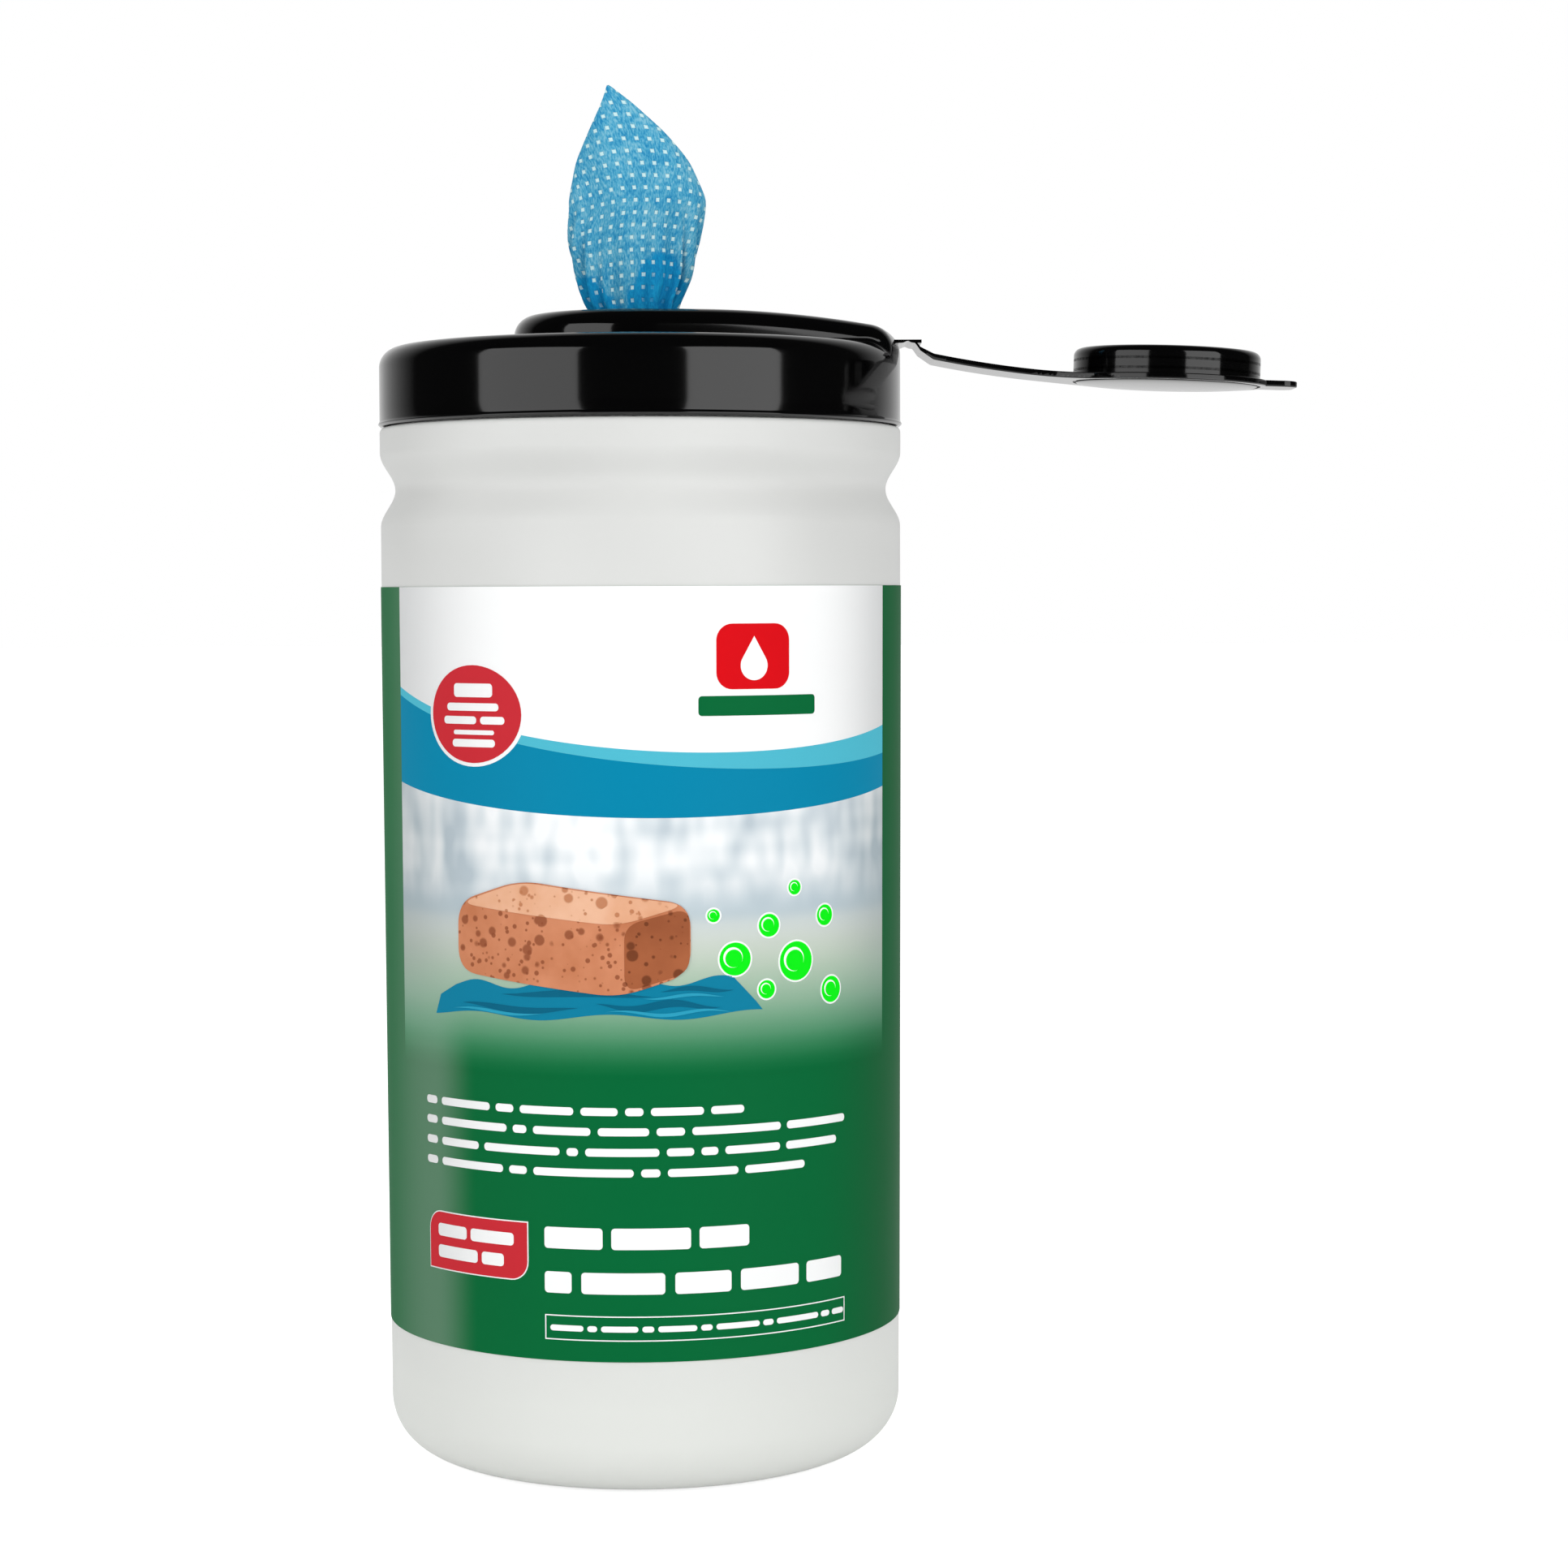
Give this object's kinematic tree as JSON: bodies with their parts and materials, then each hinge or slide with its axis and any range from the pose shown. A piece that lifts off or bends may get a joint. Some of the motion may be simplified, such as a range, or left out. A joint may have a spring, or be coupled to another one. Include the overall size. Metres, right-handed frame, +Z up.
{
  "type": "disinfecting wipes canister",
  "caption": "Tall round wipes canister with a wrap label, a lift-off dispensing lid with a hinged plug flap, a centre-pull roll inside and a wipe drawn up through the lid.",
  "frame": {"origin": "centre of the base's flat face, on the canister's axis", "axes": "+Z up along the canister's axis, +X towards the hinge and the open flap, -Y towards the front of the label"},
  "size_m": [0.2115, 0.1206, 0.314],
  "materials": {
    "body_plastic": "satin moulded",
    "lid_plastic": "glossy moulded",
    "label_green": "printed film",
    "label_white": "printed film",
    "label_light_blue": "printed film",
    "label_teal": "printed film",
    "label_red": "printed film",
    "label_picture": "printed film",
    "wipe_cloth": "damp embossed nonwoven",
    "roll_cloth": "damp nonwoven roll"
  },
  "bodies": {
    "canister": {"canister_body": "body_plastic", "label_sleeve": "label_green", "label_panel": "label_white", "label_light_wave": "label_light_blue", "label_dark_wave": "label_teal", "label_picture": "label_picture", "label_badge": "label_red", "label_emblem": "label_green", "label_tag": "label_red", "label_bar_1": "label_white", "label_bar_2": "label_white", "wipes_roll": "roll_cloth"},
    "lid": {"lid": "lid_plastic", "wipe": "wipe_cloth"},
    "flap": {"flap": "lid_plastic"}
  },
  "joints": [
    {"name": "lid_lift", "type": "slide", "parent": "canister", "child": "lid", "axis": [0, 0, 1], "range_m": [0, 0.04]},
    {"name": "flap_hinge", "type": "hinge", "parent": "lid", "child": "flap", "pos_m": [0.0614, 0, 0.2556], "axis": [0, -1, 0], "range_deg": [0, 182], "deforming": ["wipe"]}
  ]
}
